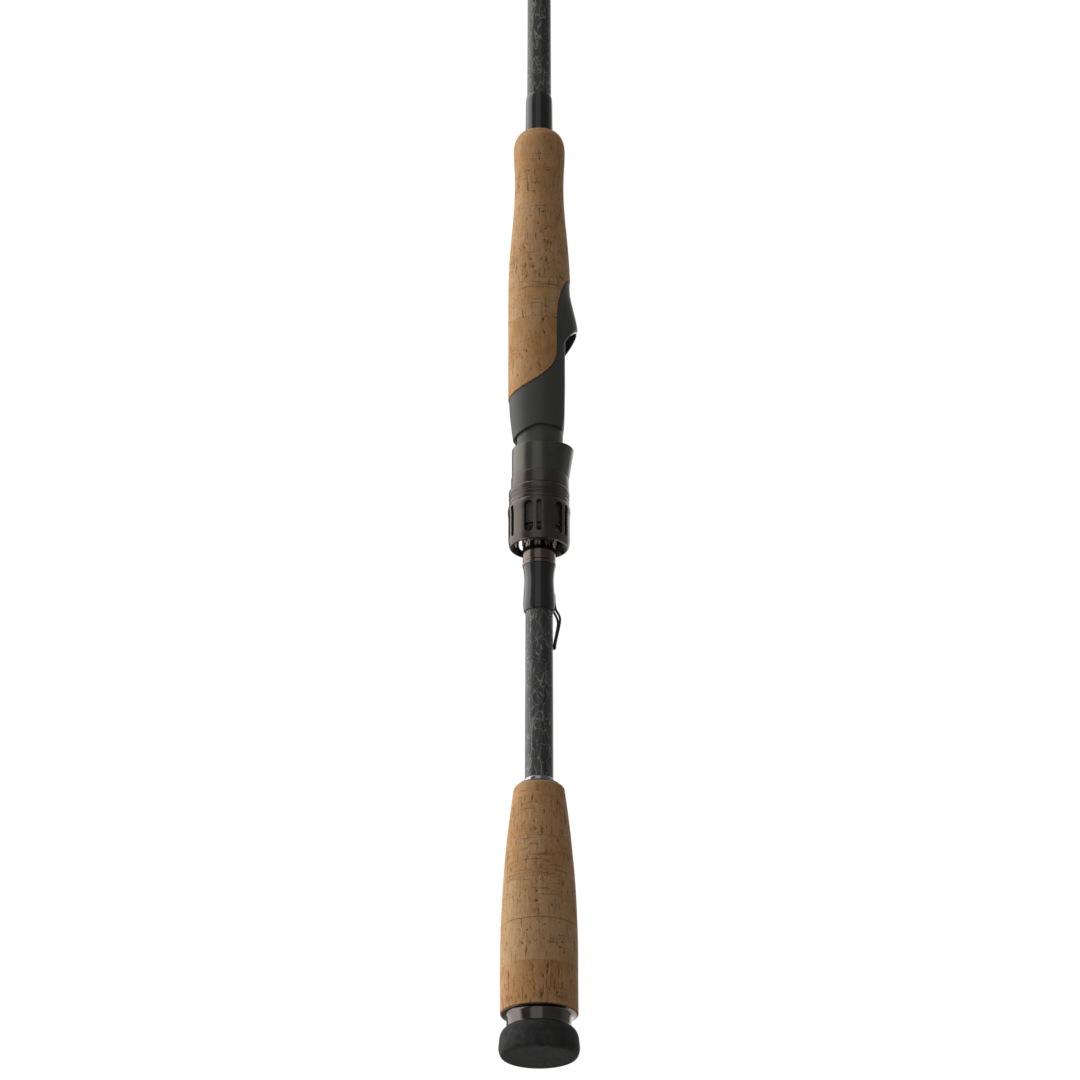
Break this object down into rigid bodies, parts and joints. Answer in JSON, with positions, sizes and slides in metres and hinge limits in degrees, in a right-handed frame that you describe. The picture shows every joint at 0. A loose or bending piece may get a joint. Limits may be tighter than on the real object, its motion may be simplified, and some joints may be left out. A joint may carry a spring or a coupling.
{
  "type": "spinning rod",
  "caption": "One-piece spinning rod with a split cork handle, an up-locking reel seat whose hood is drawn up by a nut, a hook keeper and a train of line guides.",
  "frame": {"origin": "centre of the butt cap's flat end face", "axes": "+Z along the blank to the tip, +X to the reel and guide side, -Y to the viewer of the picture"},
  "size_m": [0.0592, 0.0334, 2.1321],
  "materials": {
    "eva": "satin",
    "core": "matte",
    "trim_metal": "gloss",
    "cork": "satin",
    "black_gloss": "gloss",
    "polished": "polished",
    "blank": "gloss",
    "winding": "gloss",
    "wire": "satin",
    "barrel": "matte",
    "seat": "matte",
    "steel": "brushed",
    "hood_metal": "gloss",
    "nut_metal": "gloss",
    "guide_metal": "satin",
    "ring_ceramic": "polished"
  },
  "bodies": {
    "rod": {"butt_cap": "eva", "cap_plug": "core", "butt_ring": "trim_metal", "ring_core": "core", "butt_cork_1": "cork", "butt_cork_2": "cork", "butt_cork_3": "cork", "butt_cork_4": "cork", "butt_cork_5": "cork", "butt_cork_6": "cork", "check_disc": "black_gloss", "check_ring": "polished", "blank": "blank", "rear_winding": "winding", "hook_keeper": "wire", "seat_trim_ring": "trim_metal", "seat_barrel": "barrel", "seat_arbors": "core", "seat_body": "seat", "fixed_hood_liner": "steel", "fore_cork_1": "cork", "fore_cork_2": "cork", "fore_cork_3": "cork", "fore_cork_4": "cork", "fore_cork_5": "cork", "fore_cork_6": "cork", "fore_cork_7": "cork", "front_winding": "winding", "guide_frame_1": "guide_metal", "guide_frame_2": "guide_metal", "guide_frame_3": "guide_metal", "guide_frame_4": "guide_metal", "guide_frame_5": "guide_metal", "guide_frame_6": "guide_metal", "guide_frame_7": "guide_metal", "guide_ring_1": "ring_ceramic", "guide_ring_2": "ring_ceramic", "guide_ring_3": "ring_ceramic", "guide_ring_4": "ring_ceramic", "guide_ring_5": "ring_ceramic", "guide_ring_6": "ring_ceramic", "guide_ring_7": "ring_ceramic", "guide_wrap_1": "winding", "guide_wrap_2": "winding", "guide_wrap_3": "winding", "guide_wrap_4": "winding", "guide_wrap_5": "winding", "guide_wrap_6": "winding", "guide_wrap_7": "winding", "tip_frame": "guide_metal", "tip_ring": "ring_ceramic", "tip_winding": "winding"},
    "hood": {"moving_hood": "hood_metal", "hood_liner": "barrel", "hood_base": "trim_metal", "nut_retainer": "steel"},
    "nut": {"lock_nut": "nut_metal", "nut_collar": "trim_metal", "nut_insert": "barrel"}
  },
  "joints": [
    {"name": "hood_slide", "type": "slide", "parent": "rod", "child": "hood", "axis": [0, 0, 1], "range_m": [-0.0071, 0.0046]},
    {"name": "nut_spin", "type": "hinge", "parent": "hood", "child": "nut", "pos_m": [0, 0, 0.236], "axis": [0, 0, 1], "range_deg": [-1260, 810]}
  ],
  "couplings": [
    {"joint": "hood_slide", "follows": "nut_spin", "m_per_rad": 0.00031831}
  ]
}
